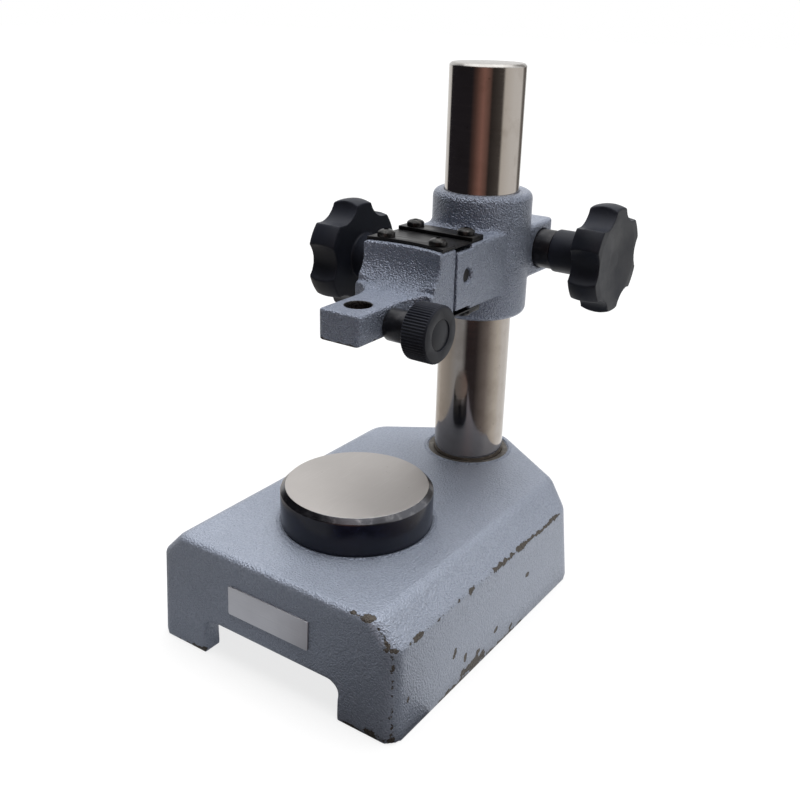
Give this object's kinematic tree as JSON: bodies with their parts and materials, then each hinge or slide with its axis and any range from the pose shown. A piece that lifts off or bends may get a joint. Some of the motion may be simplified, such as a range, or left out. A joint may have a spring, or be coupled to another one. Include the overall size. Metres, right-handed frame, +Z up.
{
  "type": "comparator stand",
  "caption": "Bench stand with a cast base, round anvil and steel column; a sliding bracket carries a spring-hung arm with fine adjustment that clamps an indicator's stem.",
  "frame": {"origin": "point on the bench under the middle of the anvil", "axes": "+Z up along the column, +Y from the anvil back to the column, +X to the right seen from the front"},
  "size_m": [0.11, 0.1766, 0.2075],
  "materials": {
    "enamel": "hammered blue-grey enamel on cast iron, chipped at the edges",
    "plate": "satin, bare",
    "anvil_steel": "blackened sides, lapped face",
    "column_steel": "ground and polished",
    "black_steel": "black oxide",
    "black_plastic": "moulded phenolic, half gloss",
    "bronze": "plain turned"
  },
  "bodies": {
    "base": {"base_casting": "enamel", "name_plate": "plate", "anvil": "anvil_steel", "anvil_screw": "black_steel", "anvil_washer": "black_steel"},
    "column": {"column": "column_steel", "column_bolt": "black_steel", "column_washer": "black_steel"},
    "bracket": {"bracket_casting": "enamel", "left_cotter": "black_steel", "fine_bush": "bronze", "bracket_top_strip": "black_steel", "bracket_bottom_strip": "black_steel", "bracket_leaf_screws": "black_steel", "top_leaf": "black_steel", "bottom_leaf": "black_steel"},
    "clamp_collar": {"clamp_collar": "black_steel"},
    "clamp_knob": {"clamp_knob": "black_plastic", "clamp_screw": "black_steel"},
    "fine_knob": {"fine_knob": "black_plastic", "fine_shaft": "black_steel", "fine_set_screw": "black_steel"},
    "holder": {"holder_casting": "enamel", "holder_top_strip": "black_steel", "holder_bottom_strip": "black_steel", "holder_leaf_screws": "black_steel", "gauge_nut": "black_steel"},
    "gauge_cotter": {"gauge_cotter": "black_steel"},
    "gauge_knob": {"gauge_knob": "black_plastic", "gauge_screw": "black_steel", "gauge_knob_cap": "black_plastic"}
  },
  "joints": [
    {"name": "bracket_swivel", "type": "hinge", "parent": "base", "child": "column", "pos_m": [0, 0.082, 0.045], "axis": [0, 0, 1], "continuous": true},
    {"name": "height_slide", "type": "slide", "parent": "column", "child": "bracket", "axis": [0, 0, 1], "range_m": [-0.05, 0.045]},
    {"name": "clamp_collar_slide", "type": "slide", "parent": "bracket", "child": "clamp_collar", "axis": [1, 0, 0], "range_m": [0, 0.0005]},
    {"name": "clamp_knob_turn", "type": "hinge", "parent": "clamp_collar", "child": "clamp_knob", "pos_m": [0.03, 0.1032, 0.134], "axis": [1, 0, 0], "range_deg": [0, 180]},
    {"name": "fine_knob_turn", "type": "hinge", "parent": "bracket", "child": "fine_knob", "pos_m": [-0.03, 0.0448, 0.134], "axis": [1, 0, 0], "range_deg": [-90, 90]},
    {"name": "holder_lift", "type": "slide", "parent": "bracket", "child": "holder", "axis": [0, 0, 1], "range_m": [-0.0005, 0.0005], "deforming": ["top_leaf", "bottom_leaf"]},
    {"name": "gauge_cotter_slide", "type": "slide", "parent": "holder", "child": "gauge_cotter", "axis": [1, 0, 0], "range_m": [0, 0.00035]},
    {"name": "gauge_knob_turn", "type": "hinge", "parent": "gauge_cotter", "child": "gauge_knob", "pos_m": [0.02, 0.00756, 0.1228], "axis": [1, 0, 0], "range_deg": [0, 180]}
  ],
  "couplings": [
    {"joint": "clamp_knob_turn", "follows": "clamp_collar_slide", "rad_per_m": 6283},
    {"joint": "fine_knob_turn", "follows": "holder_lift", "rad_per_m": 3141},
    {"joint": "gauge_knob_turn", "follows": "gauge_cotter_slide", "rad_per_m": 8975}
  ]
}
